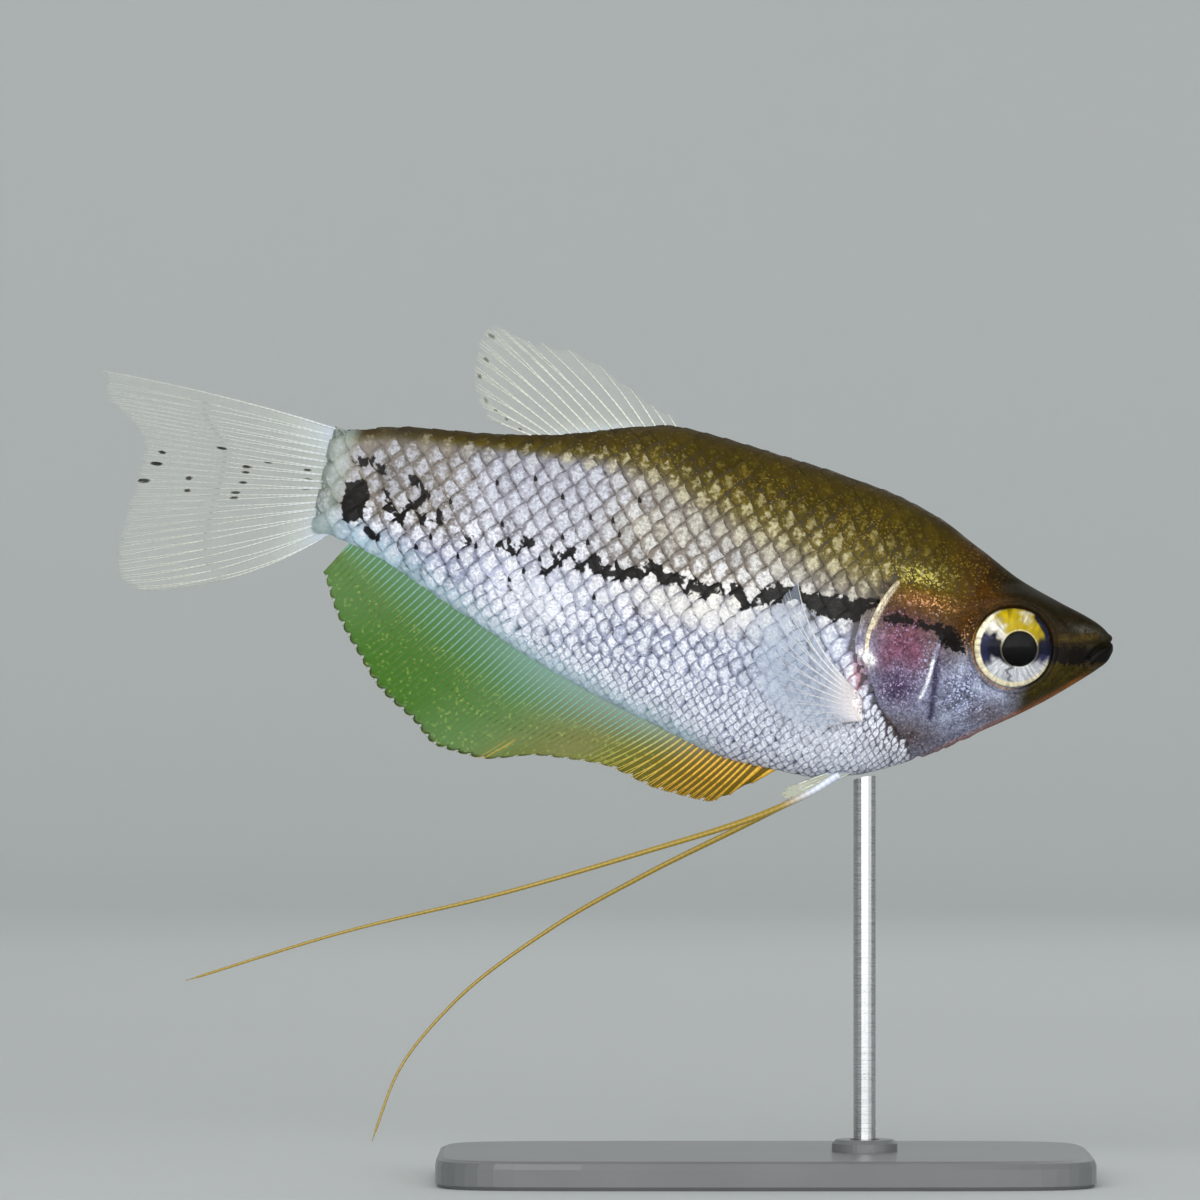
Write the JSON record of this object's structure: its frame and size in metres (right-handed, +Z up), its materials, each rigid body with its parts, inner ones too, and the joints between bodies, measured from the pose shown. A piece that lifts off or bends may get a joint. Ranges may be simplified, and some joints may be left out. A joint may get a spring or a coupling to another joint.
{
  "type": "pearl gourami",
  "caption": "Life-size still model of a young pearl gourami: deep flat body, dark broken side stripe, fan fins and long thread feelers, on a flat base with a rod.",
  "frame": {"origin": "middle of the stand base's flat underside, on the surface that the model stands on", "axes": "+X where the fish looks, +Y to the fish's left, +Z up"},
  "size_m": [0.0768, 0.03, 0.065],
  "materials": {
    "head_skin": "wet fish skin, olive brown above, silver blue on the cheek",
    "flank_skin": "pearly silver scales with a dark broken stripe",
    "eye": "clear cornea over a gold and silver iris",
    "clear_fin": "clear membrane with pale rays",
    "amber_fin": "clear membrane with close rays, amber in front",
    "feeler": "golden thread",
    "stand_base": "satin warm grey",
    "stand_rod": "drawn and brushed"
  },
  "bodies": {
    "root": {"head": "head_skin", "lower_jaw": "head_skin", "gill_cover_left": "head_skin", "gill_cover_right": "head_skin", "trunk": "flank_skin", "tail_stem": "flank_skin", "eye_left": "eye", "eye_right": "eye", "dorsal_fin": "clear_fin", "caudal_fin": "clear_fin", "anal_fin": "amber_fin", "pectoral_fin_left": "clear_fin", "pectoral_fin_right": "clear_fin", "pelvic_fin_left": "feeler", "pelvic_fin_right": "feeler", "pelvic_feeler_left_1": "feeler", "pelvic_feeler_left_2": "feeler", "pelvic_feeler_left_3": "feeler", "pelvic_feeler_right_1": "feeler", "pelvic_feeler_right_2": "feeler", "pelvic_feeler_right_3": "feeler", "stand_base": "stand_base", "stand_rod": "stand_rod"}
  },
  "joints": []
}
